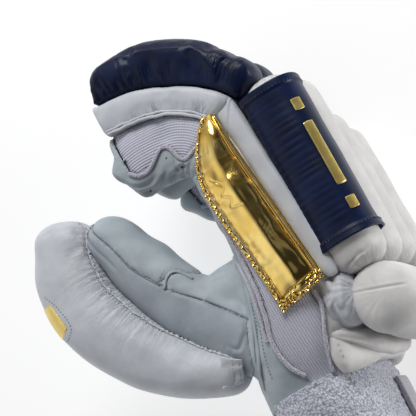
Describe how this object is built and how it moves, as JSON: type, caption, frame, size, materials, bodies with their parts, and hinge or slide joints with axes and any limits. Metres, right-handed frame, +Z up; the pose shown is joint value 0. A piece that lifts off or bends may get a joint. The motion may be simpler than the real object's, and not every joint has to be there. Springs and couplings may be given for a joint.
{
  "type": "cricket batting glove",
  "caption": "Right-hand cricket batting glove, curled as in use, with padded finger and thumb rolls, knitted gussets, a foil side panel and a towelling cuff with a strap.",
  "frame": {"origin": "on the flattened little-finger edge of the palm, at the surface that the glove lies on", "axes": "+Y from the cuff to the fingers, +X out of the back of the hand, +Z up, from the little finger to the thumb side"},
  "size_m": [0.1699, 0.2358, 0.1218],
  "materials": {
    "palm_leather": "smooth grey leather",
    "back_leather": "grained white leather",
    "navy_leather": "satin navy leather",
    "gold_foil_leather": "leather laminated with mirror-like gold foil",
    "rib_knit": "lilac-white rib knit",
    "towelling": "looped cotton towelling",
    "strap_webbing": "smooth white strap"
  },
  "bodies": {
    "root": {"thumb_side": "palm_leather", "thumb_pad": "palm_leather", "palm_leather": "palm_leather", "hand_knit": "rib_knit", "index_knit_thumbward": "rib_knit", "index_knit_outward": "rib_knit", "middle_knit_thumbward": "rib_knit", "middle_knit_outward": "rib_knit", "ring_knit_thumbward": "rib_knit", "ring_knit_outward": "rib_knit", "little_knit_thumbward": "rib_knit", "little_knit_outward": "rib_knit", "back_leather": "back_leather", "index_distal_wall": "back_leather", "index_distal_roll": "navy_leather", "index_proximal_roll": "back_leather", "middle_distal_wall": "back_leather", "middle_distal_roll": "navy_leather", "middle_proximal_roll": "back_leather", "ring_distal_wall": "back_leather", "ring_distal_roll": "navy_leather", "ring_proximal_roll": "back_leather", "little_distal_wall": "back_leather", "little_distal_roll": "navy_leather", "little_proximal_roll": "back_leather", "index_roll_band": "navy_leather", "hand_roll": "back_leather", "wrist_pad_upper": "back_leather", "cuff": "towelling", "wrist_pad_lower": "back_leather", "strap": "strap_webbing", "thumb_roll": "back_leather", "thumb_patch": "gold_foil_leather", "index_side_panel": "gold_foil_leather", "thumb_seam_ruffle": "back_leather", "index_side_wall": "back_leather"}
  },
  "joints": []
}
